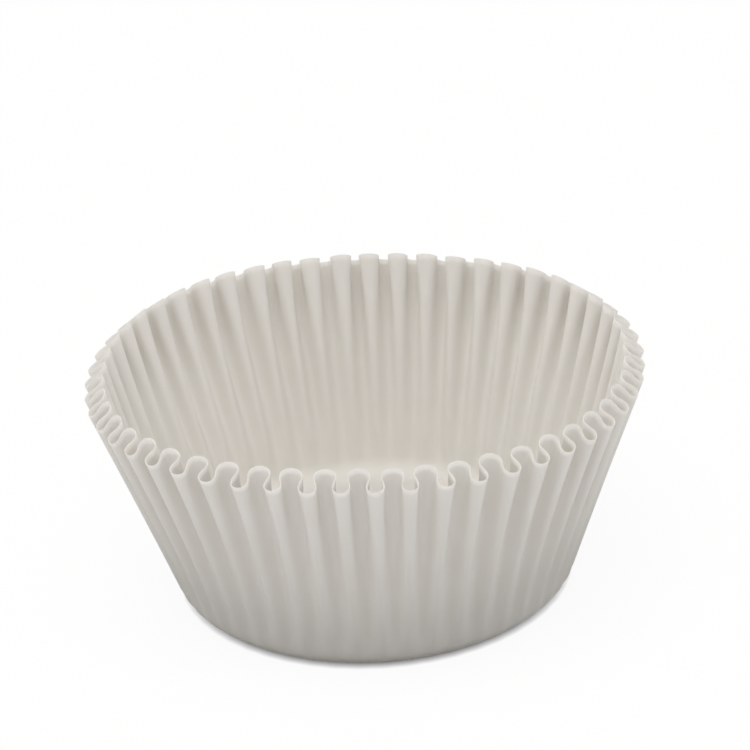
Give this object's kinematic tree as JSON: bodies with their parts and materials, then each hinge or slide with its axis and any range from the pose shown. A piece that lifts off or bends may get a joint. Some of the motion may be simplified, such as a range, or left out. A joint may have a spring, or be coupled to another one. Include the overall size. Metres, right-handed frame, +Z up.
{
  "type": "cupcake liner",
  "caption": "Round paper baking cup with a flat base, a wall of narrow rounded flutes that flares upward and a wavy rim.",
  "frame": {"origin": "centre of the underside of the flat base", "axes": "+Z up along the cup's axis, +X through the middle of one flute's ridge"},
  "size_m": [0.072, 0.072, 0.0312],
  "materials": {
    "liner_paper": "matte uncoated greaseproof paper"
  },
  "bodies": {
    "root": {"liner": "liner_paper"}
  },
  "joints": []
}
